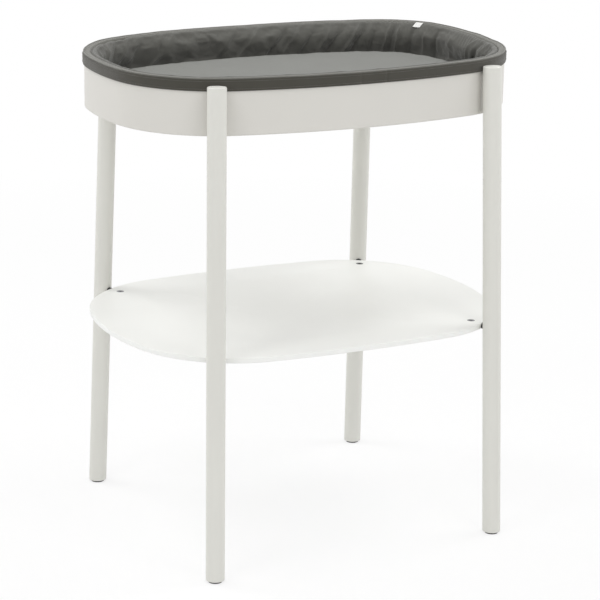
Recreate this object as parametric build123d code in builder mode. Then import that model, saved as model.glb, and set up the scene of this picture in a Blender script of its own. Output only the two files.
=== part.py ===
from build123d import *
import os
from collections import namedtuple
from math import acos, atan2, cos, degrees, radians, sin, sqrt, tan

# A changing table: an oval hoop on four splayed round legs, a moulded shelf below,
# and a textile liner with a mat that lift out of the hoop. +X is right, -Y is the front.
os.makedirs("parts", exist_ok=True)

Oval = namedtuple("Oval", "half_length half_depth side_radius end_radius corner_radius")

# Hoop, a bent wooden band whose top edge is hidden in the textile rim
hoop_half_length = 400.0
hoop_half_depth = 264.0
hoop_side_radius = 1200.0
hoop_end_radius = 560.0
hoop_corner_radius = 197.0
hoop_wall = 11.0
hoop_bottom = 818.5
band_height = 80.8
hoop_edge_bevel = 1.5

# Textile rim, a stiffened strip folded over the top of the hoop
rim_height = 22.0
rim_inner_height = 25.0
rim_wall = 2.7
rim_roll = 7.0
rim_clearance = 0.4
rim_bevel = 1.0
piping_width = 2.4
piping_height = 2.6
piping_gap = 0.05

# Legs
leg_radius = 17.5
leg_rise = 92.3
leg_splay_x = 0.96
leg_splay_y = 2.53
leg_bearing = 68.4
leg_gap = 5.6
leg_top_bevel = 1.2

# Floor glides, stuck under the legs
glide_radius = 13.0
glide_height = 4.0
small_round_sides = 20

# Saddles and bolts between the hoop and the legs
saddle_width = 9.0
saddle_margin = 4.0
bolt_spacing = 30.0
bolt_rise = 8.0
bolt_radius = 3.0
bolt_head_radius = 5.8
bolt_head_height = 3.0
bolt_seat = 0.25
bolt_bite = 13.0
fixing_sides = 8
fit_clearance = 0.1
bolt_hole_clearance = 0.3

# Base panel on six cleats that are glued to the hoop
cleat_rise = 1.5
cleat_height = 14.0
cleat_depth = 18.0
cleat_length = 64.0
cleat_side_offset = 150.0
panel_thickness = 9.0
panel_clearance = 1.0

# Shelf with a level rim and a dished middle, creased towards its four fixings
shelf_end_inset = 11.5
shelf_side_outset = 28.5
shelf_side_radius = 2100.0
shelf_end_radius = 500.0
shelf_corner_radius = 215.0
shelf_gap = 3.3
shelf_top = 416.0
shelf_thickness = 9.0
shelf_edge_bevel = 1.2
dish_depth = 13.0
dish_setback = 2.0
dish_lip_rise = 0.3
dish_hollow_share = 0.8
corner_fall_radius = 1800.0
corner_fall = 14.0

# Cam-lock fixings between the shelf and the legs
cam_setback = 31.2
cam_bearing = 66.4
cam_radius = 7.5
cam_height = 7.0
cam_sink = 0.4
cam_slot_width = 2.0
cam_slot_length = 9.0
cam_slot_depth = 2.0
cam_clearance = 0.2
dowel_radius = 2.8
dowel_depth_in_leg = 14.0
spacer_radius = 7.0
spacer_seat = 0.35

# Liner wall, floor and label tab
wall_thickness = 2.0
wall_lower_inset = 29.0
wall_middle_inset = 24.0
wall_middle_share = 0.55
wall_top_drop = 3.0
fold_count = 17
fold_depth_lower = 4.0
fold_depth_middle = 3.5
fold_depth_top = 1.0
fold_slant = 0.012
fold_unevenness = 0.22
fold_step_phase = 2.4
fold_depth_phase = 1.7
fold_depth_variation = 0.3
floor_thickness = 2.0
floor_overlap = 3.0
tab_width = 16.0
tab_length = 9.0
tab_thickness = 1.4
tab_bearing = 33.0
tab_lean = 24.0
tab_seam = 5.0
tab_reach = 1.0

# Mat
mat_thickness = 29.0
mat_clearance = 1.5
mat_shoulder = 7.0
mat_crown = 3.5
mat_crown_inset = 150.0
cover_thickness = 1.5

CORNERS = {
    "front_left": (-1, -1),
    "front_right": (1, -1),
    "rear_left": (-1, 1),
    "rear_right": (1, 1),
}
hoop_oval = Oval(hoop_half_length, hoop_half_depth, hoop_side_radius, hoop_end_radius, hoop_corner_radius)

# Heights that several pieces share
band_top = hoop_bottom + band_height
band_middle = hoop_bottom + band_height / 2
leg_top = hoop_bottom + leg_rise
rim_top = band_top + rim_height
hoop_top = rim_top - rim_wall - rim_clearance
cleat_bottom = hoop_bottom + cleat_rise
panel_bottom = cleat_bottom + cleat_height
panel_top = panel_bottom + panel_thickness
floor_top = panel_top + floor_thickness
wall_top = rim_top - wall_top_drop
shelf_bottom = shelf_top - shelf_thickness
dowel_height = (shelf_top + shelf_bottom) / 2

# Insets from the outside of the hoop, towards the middle
rim_outer_inset = -rim_clearance - rim_wall
piping_outer_inset = rim_outer_inset + rim_bevel
slot_inner_inset = hoop_wall + rim_clearance
rim_inner_inset = slot_inner_inset + rim_roll
wall_top_inset = rim_inner_inset + fit_clearance
mat_inset = wall_lower_inset + wall_thickness + fold_depth_lower + mat_clearance


def corner_centre(oval):
    """Centre of the arc in the first quadrant that joins an end arc to a side arc."""
    side_centre = Vector(0, oval.half_depth - oval.side_radius)
    end_centre = Vector(oval.half_length - oval.end_radius, 0)
    to_side = oval.side_radius - oval.corner_radius
    to_end = oval.end_radius - oval.corner_radius
    span = end_centre - side_centre
    along = (to_side**2 - to_end**2 + span.length**2) / (2 * span.length)
    across = sqrt(to_side**2 - along**2)
    unit = span.normalized()
    return side_centre + unit * along + Vector(unit.Y, -unit.X) * across


def draw_oval(oval, inset=0.0):
    """Draw an outline of eight tangent arcs, moved inwards by the inset."""
    corner = corner_centre(oval)
    side_y = oval.half_depth - oval.side_radius
    end_x = oval.half_length - oval.end_radius
    end_turn = degrees(atan2(corner.Y, corner.X - end_x))
    side_turn = degrees(atan2(corner.Y - side_y, corner.X))
    corner_turn = side_turn - end_turn
    corner_radius = oval.corner_radius - inset
    for sign, half_turn in ((1, 0), (-1, 180)):
        CenterArc((sign * end_x, 0), oval.end_radius - inset, half_turn - end_turn, 2 * end_turn)
        near = (sign * corner.X, sign * corner.Y)
        CenterArc(near, corner_radius, half_turn + end_turn, corner_turn)
        side = (0, sign * side_y)
        CenterArc(side, oval.side_radius - inset, half_turn + side_turn, 180 - 2 * side_turn)
        far = (-sign * corner.X, sign * corner.Y)
        CenterArc(far, corner_radius, half_turn + 180 - side_turn, corner_turn)


def oval_face(oval, inset=0.0):
    """Face of an oval on the level plane through the origin."""
    with BuildSketch(mode=Mode.PRIVATE) as face:
        with BuildLine():
            draw_oval(oval, inset)
        make_face()
    return face.sketch


def oval_ring(oval, outer_inset, inner_inset, bottom, top):
    """Upright band between two insets of an oval and two heights."""
    with BuildPart(mode=Mode.PRIVATE) as ring:
        with BuildSketch(Plane.XY.offset(bottom)):
            add(oval_face(oval, outer_inset))
            add(oval_face(oval, inner_inset), mode=Mode.SUBTRACT)
        extrude(amount=top - bottom)
    return ring.part


def oval_prism(oval, inset, bottom, top):
    """Upright solid of an oval between two heights."""
    with BuildPart(mode=Mode.PRIVATE) as prism:
        with BuildSketch(Plane.XY.offset(bottom)):
            add(oval_face(oval, inset))
        extrude(amount=top - bottom)
    return prism.part


def sided_bars(planes, radius, length, sides=fixing_sides):
    """Bars with flat sides, from each plane along its normal, or against it by a negative length."""
    with BuildPart(mode=Mode.PRIVATE) as bars:
        with BuildSketch(*planes):
            RegularPolygon(radius, sides)
        extrude(amount=length)
    return bars.part


def leg_axis_point(signs, z):
    """Point on a leg's axis at a height."""
    corner = corner_centre(hoop_oval)
    reach = hoop_corner_radius + leg_gap + leg_radius
    drop = band_middle - z
    x = corner.X + reach * cos(radians(leg_bearing)) + drop * tan(radians(leg_splay_x))
    y = corner.Y + reach * sin(radians(leg_bearing)) + drop * tan(radians(leg_splay_y))
    return Vector(signs[0] * x, signs[1] * y, z)


def leg_bar(signs):
    """A leg's round bar, square at its top and reaching below the floor."""
    top = leg_axis_point(signs, leg_top)
    up = (top - leg_axis_point(signs, 0)).normalized()
    with BuildPart(mode=Mode.PRIVATE) as bar:
        with BuildSketch(Plane(origin=top, x_dir=(1, 0, 0), z_dir=up)):
            Circle(leg_radius)
        extrude(amount=-leg_top - leg_radius)
    return bar.part


def bolt_plane(signs, z):
    """Upright plane on the inside of the hoop at a bolt, with its normal to the inside."""
    corner = corner_centre(hoop_oval)
    away = Vector(signs[0] * cos(radians(leg_bearing)), signs[1] * sin(radians(leg_bearing)))
    origin = Vector(signs[0] * corner.X, signs[1] * corner.Y, z)
    origin += away * (hoop_corner_radius - hoop_wall)
    return Plane(origin=origin, x_dir=(0, 0, 1), z_dir=away * -1)


def fitted_shelf():
    """The shelf's outline, grown or shrunk as a whole until its corners clear the legs by the gap."""
    plain = Oval(
        hoop_half_length - shelf_end_inset,
        hoop_half_depth + shelf_side_outset,
        shelf_side_radius,
        shelf_end_radius,
        shelf_corner_radius,
    )
    corner = corner_centre(plain)
    axis = leg_axis_point((1, 1), dowel_height)
    reach = sqrt((axis.X - corner.X) ** 2 + (axis.Y - corner.Y) ** 2)
    growth = reach - leg_radius - shelf_gap - shelf_corner_radius
    return Oval(*[size + growth for size in plain])


shelf_oval = fitted_shelf()
cam_distance = leg_radius + cam_setback
dowel_end = cam_setback + dowel_depth_in_leg


def cam_point(signs, z):
    """Centre of a cam nut, at a height."""
    axis = leg_axis_point(signs, dowel_height)
    point = axis - cam_direction(signs) * cam_distance
    return Vector(point.X, point.Y, z)


def cam_direction(signs):
    """Level direction from a cam nut to its leg."""
    return Vector(signs[0] * cos(radians(cam_bearing)), signs[1] * sin(radians(cam_bearing)))


def dowel_plane(signs, distance):
    """Plane across a dowel, at a distance from the cam's axis, with its normal to the leg."""
    away = cam_direction(signs)
    return Plane(origin=cam_point(signs, dowel_height) + away * distance, x_dir=(0, 0, 1), z_dir=away)


# Where the bolts and cleats lie
bolt_heights = [band_middle + bolt_rise + side * bolt_spacing / 2 for side in (-1, 1)]
bolt_planes = {name: [bolt_plane(signs, z) for z in bolt_heights] for name, signs in CORNERS.items()}
all_bolt_planes = [plane for planes in bolt_planes.values() for plane in planes]
bolt_length = hoop_wall + leg_gap + bolt_bite

side_turn = degrees(atan2(cleat_side_offset, hoop_side_radius))
side_y = hoop_half_depth - hoop_side_radius
end_x = hoop_half_length - hoop_end_radius
cleat_bearings = {
    "front_left": (0, -side_y, hoop_side_radius, 270 - side_turn),
    "front_right": (0, -side_y, hoop_side_radius, 270 + side_turn),
    "rear_left": (0, side_y, hoop_side_radius, 90 + side_turn),
    "rear_right": (0, side_y, hoop_side_radius, 90 - side_turn),
    "left_end": (-end_x, 0, hoop_end_radius, 180),
    "right_end": (end_x, 0, hoop_end_radius, 0),
}
cleat_planes = {}
for name, (x, y, radius, bearing) in cleat_bearings.items():
    away = Vector(cos(radians(bearing)), sin(radians(bearing)))
    seat = Vector(x, y, cleat_bottom + cleat_height / 2) + away * (radius - hoop_wall - cleat_depth)
    cleat_planes[name] = Plane(origin=seat, x_dir=away.rotate(Axis.Z, 90), z_dir=away * -1)

MAX = (Align.CENTER, Align.CENTER, Align.MAX)

# Hoop
with BuildPart() as hoop:
    with BuildSketch(Plane.XY.offset(hoop_bottom)):
        add(oval_face(hoop_oval))
        add(oval_face(hoop_oval, hoop_wall), mode=Mode.SUBTRACT)
    extrude(amount=hoop_top - hoop_bottom)
    chamfer(hoop.faces().sort_by(Axis.Z)[0].outer_wire().edges(), length=hoop_edge_bevel)
    bore_starts = [plane.offset(hoop_wall) for plane in all_bolt_planes]
    add(sided_bars(bore_starts, bolt_radius + bolt_hole_clearance, -3 * hoop_wall), mode=Mode.SUBTRACT)
hoop.part.label = "hoop"
export_step(hoop.part, "parts/hoop.step")

# Cleats under the panel, hollowed to the hoop
for name, plane in cleat_planes.items():
    with BuildPart() as cleat:
        with BuildSketch(plane):
            Rectangle(cleat_length, cleat_height)
        extrude(amount=-cleat_depth - hoop_wall)
        add(oval_prism(hoop_oval, hoop_wall, hoop_bottom, hoop_top), mode=Mode.INTERSECT)
    cleat.part.label = "panel_cleat_" + name
    export_step(cleat.part, "parts/panel_cleat_" + name + ".step")

# Base panel
with BuildPart() as base_panel:
    add(oval_prism(hoop_oval, hoop_wall + panel_clearance, panel_bottom, panel_top))
base_panel.part.label = "base_panel"
export_step(base_panel.part, "parts/base_panel.step")

# Legs, cut level at the foot and drilled for the bolts and the shelf's dowel
for name, signs in CORNERS.items():
    with BuildPart() as leg:
        add(leg_bar(signs))
        split(bisect_by=Plane.XY.offset(glide_height), keep=Keep.TOP)
        chamfer(leg.faces().sort_by(Axis.Z)[-1].edges(), length=leg_top_bevel)
        bolt_bore = sided_bars(bolt_planes[name], bolt_radius + fit_clearance, -bolt_length - fit_clearance)
        add(bolt_bore, mode=Mode.SUBTRACT)
        dowel_bore = sided_bars([dowel_plane(signs, 0)], dowel_radius + fit_clearance, dowel_end)
        add(dowel_bore, mode=Mode.SUBTRACT)
    leg.part.label = "leg_" + name
    export_step(leg.part, "parts/leg_" + name + ".step")

    # A saddle is hollowed to the leg on one side and to the hoop on the other
    with BuildPart() as saddle:
        with BuildSketch(bolt_plane(signs, band_middle)):
            Rectangle(band_height - 2 * saddle_margin, saddle_width)
        extrude(amount=-hoop_wall - leg_gap - leg_radius)
        add(oval_prism(hoop_oval, 0, hoop_bottom, hoop_top), mode=Mode.SUBTRACT)
        add(leg_bar(signs), mode=Mode.SUBTRACT)
        bolt_bore = sided_bars(bolt_planes[name], bolt_radius + bolt_hole_clearance, -bolt_length)
        add(bolt_bore, mode=Mode.SUBTRACT)
    saddle.part.label = "leg_saddle_" + name
    export_step(saddle.part, "parts/leg_saddle_" + name + ".step")

# Floor glides
with BuildPart() as glides:
    foot_planes = [Plane(origin=leg_axis_point(signs, 0)) for signs in CORNERS.values()]
    add(sided_bars(foot_planes, glide_radius, glide_height, small_round_sides))
glides.part.label = "glides"
export_step(glides.part, "parts/glides.step")

# Bolts from inside the hoop, with flat heads just clear of its hollow face
with BuildPart() as hoop_bolts:
    bolt_seats = [plane.offset(bolt_seat) for plane in all_bolt_planes]
    add(sided_bars(bolt_seats, bolt_head_radius, bolt_head_height))
    add(sided_bars(bolt_seats, bolt_radius, -bolt_length))
hoop_bolts.part.label = "hoop_bolts"
export_step(hoop_bolts.part, "parts/hoop_bolts.step")


dish_end = cam_point((1, 1), shelf_top).X - dish_setback
dish_side = cam_point((1, 1), shelf_top).Y - dish_setback
dish_corner = (dish_end + dish_side) / sqrt(2)


def draw_trough(reach, height):
    """Draw a trough's section below a height, a hollow between two softly rounded lips."""
    steepest = 2 * atan2(dish_depth, reach)
    turn = reach * dish_hollow_share
    lip_radius = (reach - turn) / sin(steepest)
    turn_height = height - lip_radius * (1 - cos(steepest))
    lip_height = height - lip_radius * (1 - cos(steepest / 2))
    lip_middle = reach - lip_radius * sin(steepest / 2)
    ThreePointArc((-turn, turn_height), (0, height - dish_depth), (turn, turn_height))
    for side in (-1, 1):
        ThreePointArc((side * turn, turn_height), (side * lip_middle, lip_height), (side * reach, height))
    Line((-reach, height), (reach, height))


def draw_corner_falls(height):
    """Draw a section along a diagonal, which falls ever more steeply from both corners of the dish."""
    bottom_turn = acos(1 - corner_fall / corner_fall_radius)
    bottom = dish_corner - corner_fall_radius * sin(bottom_turn)
    middle = dish_corner - corner_fall_radius * sin(bottom_turn / 2)
    middle_height = height - corner_fall_radius * (1 - cos(bottom_turn / 2))
    for side in (-1, 1):
        foot = (side * bottom, height - corner_fall)
        ThreePointArc(foot, (side * middle, middle_height), (side * dish_corner, height))
    Line((-bottom, height - corner_fall), (bottom, height - corner_fall))
    Line((-dish_corner, height), (dish_corner, height))


def dish_solid(level):
    """Body of the shelf's dish, common to two troughs and to the falls from its corners.

    All of them start a little above the level, so that they meet it at an angle.
    """
    height = level + dish_lip_rise
    with BuildPart(mode=Mode.PRIVATE) as dish:
        with BuildSketch(Plane.YZ):
            with BuildLine():
                draw_trough(dish_side, height)
            make_face()
        extrude(amount=dish_end, both=True)
        with BuildSketch(Plane.XZ):
            with BuildLine():
                draw_trough(dish_end, height)
            make_face()
        extrude(amount=dish_side, both=True, mode=Mode.INTERSECT)
        for side in (-1, 1):
            with BuildSketch(Plane(origin=(0, 0, 0), x_dir=(1, side, 0), z_dir=(side, -1, 0))):
                with BuildLine():
                    draw_corner_falls(height)
                make_face()
            extrude(amount=dish_corner, both=True, mode=Mode.INTERSECT)
    return dish.part


# Shelf
with BuildPart() as shelf:
    with BuildSketch(Plane.XY.offset(shelf_bottom)):
        add(oval_face(shelf_oval))
    extrude(amount=shelf_thickness)
    chamfer(shelf.edges().group_by(Axis.Z)[-1], length=shelf_edge_bevel)
    add(dish_solid(shelf_bottom))
    add(dish_solid(shelf_top), mode=Mode.SUBTRACT)
    for signs in CORNERS.values():
        with Locations(cam_point(signs, shelf_top)):
            Hole(cam_radius + cam_clearance, depth=cam_sink + cam_height)
        dowel_bore = sided_bars([dowel_plane(signs, 0)], dowel_radius + cam_clearance, cam_distance)
        add(dowel_bore, mode=Mode.SUBTRACT)
shelf.part.label = "shelf"
export_step(shelf.part, "parts/shelf.step")

# Cam nuts with a crossed slot on top
with BuildPart() as cam_nuts:
    cam_tops = [cam_point(signs, shelf_top - cam_sink) for signs in CORNERS.values()]
    add(sided_bars([Plane(origin=top) for top in cam_tops], cam_radius, -cam_height, small_round_sides))
    for top in cam_tops:
        with Locations(top):
            Box(cam_slot_length, cam_slot_width, cam_slot_depth, align=MAX, mode=Mode.SUBTRACT)
            Box(cam_slot_width, cam_slot_length, cam_slot_depth, align=MAX, mode=Mode.SUBTRACT)
cam_nuts.part.label = "cam_nuts"
export_step(cam_nuts.part, "parts/cam_nuts.step")

# Dowels from the cam nuts into the legs
with BuildPart() as cam_dowels:
    dowel_start = cam_radius + cam_clearance
    dowel_planes = [dowel_plane(signs, dowel_start) for signs in CORNERS.values()]
    add(sided_bars(dowel_planes, dowel_radius, dowel_end - dowel_start - fit_clearance))
cam_dowels.part.label = "cam_dowels"
export_step(cam_dowels.part, "parts/cam_dowels.step")

# Collars on the dowels between the shelf's edge and the legs
with BuildPart() as shelf_spacers:
    spacer_planes = [dowel_plane(signs, 0) for signs in CORNERS.values()]
    add(sided_bars(spacer_planes, spacer_radius, cam_setback - spacer_seat))
    add(sided_bars(spacer_planes, dowel_radius + fit_clearance, cam_setback), mode=Mode.SUBTRACT)
    clear_bottom = dowel_height - 2 * spacer_radius
    clear_top = dowel_height + 2 * spacer_radius
    add(oval_prism(shelf_oval, 0, clear_bottom, clear_top), mode=Mode.SUBTRACT)
shelf_spacers.part.label = "shelf_spacers"
export_step(shelf_spacers.part, "parts/shelf_spacers.step")

# Textile rim
with BuildPart() as liner_rim:
    add(oval_ring(hoop_oval, rim_outer_inset, rim_inner_inset, band_top, rim_top))
    chamfer(liner_rim.faces().sort_by(Axis.Z)[-1].outer_wire().edges(), length=rim_bevel)
    add(oval_ring(hoop_oval, slot_inner_inset, rim_inner_inset, rim_top - rim_inner_height, band_top))
    slot_top = rim_top - rim_wall
    add(
        oval_ring(hoop_oval, -rim_clearance, slot_inner_inset, band_top, slot_top),
        mode=Mode.SUBTRACT,
    )
liner_rim.part.label = "liner_rim"
export_step(liner_rim.part, "parts/liner_rim.step")

# Piping along the rim's top
with BuildPart() as liner_piping:
    piping_bottom = rim_top + piping_gap
    piping_inner_inset = piping_outer_inset + piping_width
    piping_top = piping_bottom + piping_height
    add(oval_ring(hoop_oval, piping_outer_inset, piping_inner_inset, piping_bottom, piping_top))
liner_piping.part.label = "liner_piping"
export_step(liner_piping.part, "parts/liner_piping.step")


def fold_share(index, slant):
    """Place of a fold's edge along the wall, as a share of its length, with uneven steps."""
    return (index + fold_unevenness * sin(fold_step_phase * index)) / fold_count + slant


def draw_folds(inset, fold_depth, slant):
    """Draw an inner outline of the wall, with a shallow arc inwards from fold to fold."""
    with BuildLine(mode=Mode.PRIVATE) as path:
        draw_oval(hoop_oval, inset)
    wire = path.wires()[0]
    shares = [fold_share(index, slant) for index in range(fold_count)]
    points = [wire.position_at(share % 1) for share in shares]
    for index in range(fold_count):
        following = (index + 1) % fold_count
        half = (shares[following] + (1 if following == 0 else 0) + shares[index]) / 2 % 1
        depth = fold_depth * (1 - fold_depth_variation * (1 - sin(fold_depth_phase * index)))
        middle = wire.position_at(half)
        inwards = wire.tangent_at(half).rotate(Axis.Z, 90)
        ThreePointArc(points[index], middle + inwards * depth, points[following])


# Gathered wall of the liner
wall_middle = floor_top + (wall_top - floor_top) * wall_middle_share
wall_levels = [
    (floor_top, wall_lower_inset, fold_depth_lower, -fold_slant),
    (wall_middle, wall_middle_inset, fold_depth_middle, 0),
    (wall_top, wall_top_inset, fold_depth_top, fold_slant),
]
with BuildPart() as wall_hollow:
    for height, inset, fold_depth, slant in wall_levels:
        with BuildSketch(Plane.XY.offset(height)):
            with BuildLine():
                draw_folds(inset + wall_thickness, fold_depth, slant)
            make_face()
    loft(ruled=True)
with BuildPart() as liner_wall:
    for height, inset, fold_depth, slant in wall_levels:
        with BuildSketch(Plane.XY.offset(height)):
            add(oval_face(hoop_oval, inset))
    loft(ruled=True)
    add(wall_hollow.part, mode=Mode.SUBTRACT)
liner_wall.part.label = "liner_wall"
export_step(liner_wall.part, "parts/liner_wall.step")

# Textile floor under the wall and the mat
with BuildPart() as liner_floor:
    with BuildSketch(Plane.XY.offset(panel_top)):
        add(oval_face(hoop_oval, wall_lower_inset - floor_overlap))
    extrude(amount=floor_thickness)
liner_floor.part.label = "liner_floor"
export_step(liner_floor.part, "parts/liner_floor.step")

# Blank label tab, sewn on the top of the rim and hanging inside the wall
tab_away = Vector(cos(radians(tab_bearing)), sin(radians(tab_bearing)))
tab_corner = corner_centre(hoop_oval)
tab_seat = tab_corner + tab_away * (hoop_corner_radius - wall_top_inset)
tab_plane = Plane(
    origin=Vector(tab_seat.X, tab_seat.Y, rim_top + piping_gap),
    x_dir=tab_away * -1,
    z_dir=(tab_away * -1).cross(Vector(0, 0, 1)),
)
tab_drop = tab_length * cos(radians(tab_lean))
tab_swing = tab_length * sin(radians(tab_lean))
tab_edge = wall_thickness + fold_depth_top + tab_reach
with BuildPart() as label_tab:
    with BuildSketch(tab_plane):
        with BuildLine():
            Polyline(
                (-tab_seam, 0),
                (tab_edge, 0),
                (tab_edge + tab_swing, -tab_drop),
                (tab_edge + tab_swing + tab_thickness, -tab_drop),
                (tab_edge + tab_thickness, tab_thickness),
                (-tab_seam, tab_thickness),
                close=True,
            )
        make_face()
    extrude(amount=tab_width / 2, both=True)
label_tab.part.label = "label_tab"
export_step(label_tab.part, "parts/label_tab.step")


# Foam slab of the mat
with BuildPart() as mat_foam:
    foam_top = floor_top + mat_thickness - mat_crown - cover_thickness
    foam_inset = mat_inset + mat_shoulder + cover_thickness
    add(oval_prism(hoop_oval, foam_inset, floor_top + cover_thickness, foam_top))
mat_foam.part.label = "mat_foam"
export_step(mat_foam.part, "parts/mat_foam.step")

# Padded cover of the mat, round-shouldered and crowned
cover_levels = [
    (0, 0),
    (mat_thickness - mat_shoulder - mat_crown, 0),
    (mat_thickness - mat_crown, mat_shoulder),
    (mat_thickness, mat_crown_inset),
]
with BuildPart() as mat_cover:
    for rise, inset in cover_levels:
        with BuildSketch(Plane.XY.offset(floor_top + rise)):
            add(oval_face(hoop_oval, mat_inset + inset))
    loft(ruled=True)
    add(mat_foam.part, mode=Mode.SUBTRACT)
mat_cover.part.label = "mat_cover"
export_step(mat_cover.part, "parts/mat_cover.step")
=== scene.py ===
"""Looks of the changing table: the textile liner, the padded mat, the materials, the light and the camera."""
import math
import random

import bpy
import numpy as np
from mathutils import Matrix, Vector, noise


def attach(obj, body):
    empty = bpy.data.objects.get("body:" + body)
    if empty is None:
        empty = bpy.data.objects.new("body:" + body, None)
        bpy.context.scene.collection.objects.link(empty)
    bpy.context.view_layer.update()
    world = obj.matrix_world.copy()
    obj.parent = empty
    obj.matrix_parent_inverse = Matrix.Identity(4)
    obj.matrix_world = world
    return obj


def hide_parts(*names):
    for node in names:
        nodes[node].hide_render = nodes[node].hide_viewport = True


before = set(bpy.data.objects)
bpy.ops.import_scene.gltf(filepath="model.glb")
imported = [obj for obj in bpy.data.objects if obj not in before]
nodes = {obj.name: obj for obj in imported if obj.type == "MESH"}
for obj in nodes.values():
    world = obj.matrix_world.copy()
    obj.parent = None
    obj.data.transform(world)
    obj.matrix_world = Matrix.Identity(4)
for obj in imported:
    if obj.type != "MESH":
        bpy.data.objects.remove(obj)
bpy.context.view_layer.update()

# Outline of the hoop: eight tangent arcs, in metres
HALF_LENGTH = 0.400
HALF_DEPTH = 0.264
SIDE_RADIUS = 1.200
END_RADIUS = 0.560
CORNER_RADIUS = 0.197

# Heights
BAND_TOP = 0.8993
HOOP_TOP = 0.9182
RIM_TOP = 0.9213
RIM_INNER_BOTTOM = 0.8963
PANEL_TOP = 0.8430
FLOOR_TOP = 0.8450
MAT_TOP = 0.8740

# Insets from the outside of the hoop towards the middle
RIM_OUTER = -0.0031
SLOT_OUTER = -0.0004
HOOP_INNER = 0.0110
SLOT_INNER = 0.0114
RIM_INNER = 0.0184
FLOOR_INSET = 0.0260
MAT_INSET = 0.0380


def oval_arcs():
    """The outline's arcs as (centre, radius, first angle, last angle), from +X round by +Y."""
    side_y = HALF_DEPTH - SIDE_RADIUS
    end_x = HALF_LENGTH - END_RADIUS
    span = math.hypot(end_x, side_y)
    to_side = SIDE_RADIUS - CORNER_RADIUS
    to_end = END_RADIUS - CORNER_RADIUS
    along = (to_side**2 - to_end**2 + span**2) / (2 * span)
    across = math.sqrt(to_side**2 - along**2)
    unit = (end_x / span, -side_y / span)
    x = unit[0] * along + unit[1] * across
    y = side_y + unit[1] * along - unit[0] * across
    end_turn = math.atan2(y, x - end_x)
    side_turn = math.atan2(y - side_y, x)
    half, full = math.pi, 2 * math.pi
    return [
        ((end_x, 0), END_RADIUS, 0, end_turn),
        ((x, y), CORNER_RADIUS, end_turn, side_turn),
        ((0, side_y), SIDE_RADIUS, side_turn, half - side_turn),
        ((-x, y), CORNER_RADIUS, half - side_turn, half - end_turn),
        ((-end_x, 0), END_RADIUS, half - end_turn, half + end_turn),
        ((-x, -y), CORNER_RADIUS, half + end_turn, half + side_turn),
        ((0, -side_y), SIDE_RADIUS, half + side_turn, full - side_turn),
        ((x, -y), CORNER_RADIUS, full - side_turn, full - end_turn),
        ((end_x, 0), END_RADIUS, full - end_turn, full),
    ]


ARCS = oval_arcs()
PERIMETER = sum(radius * (last - first) for _, radius, first, last in ARCS)


def outline(shares):
    """Points on the hoop's outline and their outward normals, at shares of its length."""
    points, normals = [], []
    for share in shares:
        rest = (share % 1.0) * PERIMETER
        for centre, radius, first, last in ARCS:
            length = radius * (last - first)
            if rest <= length or last == 2 * math.pi:
                turn = first + rest / radius
                normal = (math.cos(turn), math.sin(turn))
                points.append((centre[0] + radius * normal[0], centre[1] + radius * normal[1]))
                normals.append(normal)
                break
            rest -= length
    return np.array(points), np.array(normals)


def even_shares(count):
    """Shares of the outline in even steps."""
    return [i / count for i in range(count)]


def round_noise(share, repeats, seed):
    """Noise round the outline that meets itself, with about so many waves."""
    turn = 2 * math.pi * share
    reach = repeats / (2 * math.pi)
    return noise.noise(Vector((reach * math.cos(turn), reach * math.sin(turn), seed)))


def away_from(share, centre):
    """Signed distance along the outline, as a share."""
    return (share - centre + 0.5) % 1.0 - 0.5


def bump_at(share, centre, width):
    """Bell curve round a share of the outline."""
    return math.exp(-((away_from(share, centre) / width) ** 2))


def waves_at(share, waves):
    """Sum of noise waves round the outline, each (size, number of waves, seed)."""
    total = 0.0
    for size, repeats, seed in waves:
        total += size * round_noise(share, repeats, seed)
    return total


def link(obj):
    """Put an object in the scene."""
    bpy.context.scene.collection.objects.link(obj)
    return obj


def make_object(name, verts, faces):
    """Mesh object from points and faces, in the scene."""
    mesh = bpy.data.meshes.new(name)
    mesh.from_pydata(verts, [], faces)
    return link(bpy.data.objects.new(name, mesh))


def ring_faces(count, rings, first=0):
    """Four-sided faces between rings of points, each ring closed on itself."""
    faces = []
    for ring in range(rings - 1):
        base, above = first + ring * count, first + (ring + 1) * count
        for i in range(count):
            j = (i + 1) % count
            faces.append((base + i, base + j, above + j, above + i))
    return faces


def ring_mesh(name, shares, sections, closed):
    """Mesh swept round the outline from sections, one (inset, height) list for each share.

    Its UV map holds metres along the outline and across the section.
    """
    points, normals = outline(shares)
    sections = np.array(sections)
    count, width = sections.shape[:2]
    verts = np.empty((count, width, 3))
    verts[:, :, :2] = points[:, None, :] - normals[:, None, :] * sections[:, :, :1]
    verts[:, :, 2] = sections[:, :, 1]
    steps = np.linalg.norm(np.diff(sections, axis=1), axis=2).mean(axis=0)
    across = np.concatenate([[0], np.cumsum(steps)])
    spans = width if closed else width - 1
    faces, coords = [], []
    for i in range(count):
        j = (i + 1) % count
        u0, u1 = i / count * PERIMETER, (i + 1) / count * PERIMETER
        for k in range(spans):
            m = (k + 1) % width
            faces.append((i * width + k, j * width + k, j * width + m, i * width + m))
            v0 = across[k]
            v1 = across[k + 1] if k + 1 < width else across[k] + steps.mean()
            coords += [(u0, v0), (u1, v0), (u1, v1), (u0, v1)]
    made = make_object(name, verts.reshape(-1, 3).tolist(), faces)
    layer = made.data.uv_layers.new(name="cloth")
    layer.data.foreach_set("uv", np.array(coords).ravel())
    made.data.shade_smooth()
    return made


# Rim: a stiff strip folded over the hoop, with a sewn groove along the inside of its top
RIM_STEPS = 1280
# Faces of the rim's section that lie on its top, which take a lighter grey as painted light
RIM_TOP_FACES = range(8, 14)
SWAY_WAVES = [(0.0005, 16, 1.3), (0.00025, 60, 2.1)]
LIFT_WAVES = [(0.0006, 12, 3.7), (0.0002, 70, 4.9)]
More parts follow.
